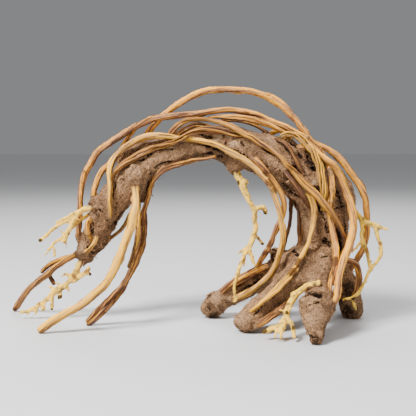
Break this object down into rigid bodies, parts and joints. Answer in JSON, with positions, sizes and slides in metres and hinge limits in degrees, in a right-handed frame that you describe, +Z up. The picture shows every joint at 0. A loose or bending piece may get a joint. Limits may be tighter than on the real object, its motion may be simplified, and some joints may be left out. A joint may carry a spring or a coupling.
{
  "type": "aquarium driftwood arch",
  "caption": "Natural driftwood arch for an aquarium: a knotty trunk on spread toes, with thin vines laid over it and pale coral-like twigs.",
  "frame": {"origin": "on the floor, under the middle of the piece's bounding box", "axes": "+X to the right along the arch, from its hanging end to its standing end; +Y away from the viewer; +Z up"},
  "size_m": [0.3782, 0.1833, 0.2281],
  "materials": {
    "bark": "rough, felted brown bark",
    "vine_orange": "peeled orange-brown wood, satin",
    "vine_yellow": "peeled yellow wood, satin",
    "vine_brown": "brown wood, dull",
    "twig": "pale cream twig wood, matt"
  },
  "bodies": {
    "root": {"trunk": "bark", "twig_front": "twig", "twig_hanging": "twig", "twig_left_lower": "twig", "twig_left_upper": "twig", "twig_right": "twig", "vine_back_long": "vine_orange", "vine_back_low": "vine_brown", "vine_back_short": "vine_brown", "vine_back_upper": "vine_yellow", "vine_behind_thick": "vine_brown", "vine_behind_thin": "vine_brown", "vine_bundle": "vine_yellow", "vine_diagonal": "vine_brown", "vine_diagonal_under": "vine_brown", "vine_far_left_fork": "vine_brown", "vine_far_left_leg": "vine_brown", "vine_far_left_prop": "vine_brown", "vine_front_upper": "vine_yellow", "vine_inner_front": "vine_orange", "vine_left_drop": "vine_orange", "vine_left_front_leg": "vine_yellow", "vine_left_rear_leg": "vine_orange", "vine_left_stub": "vine_orange", "vine_left_thin_leg": "vine_yellow", "vine_on_left_toe": "vine_orange", "vine_on_middle_toe": "vine_orange", "vine_outer_left": "vine_orange", "vine_outer_right": "vine_orange", "vine_pale_peg": "vine_yellow", "vine_right_thick": "vine_orange", "vine_right_toe": "vine_orange", "vine_short_high": "vine_yellow", "vine_slope": "vine_brown", "vine_strip": "vine_brown", "vine_to_middle_toe": "vine_yellow", "vine_top_loop": "vine_orange", "vine_top_pair": "vine_orange", "vine_top_thin": "vine_orange", "vine_under_heel": "vine_yellow"}
  },
  "joints": []
}
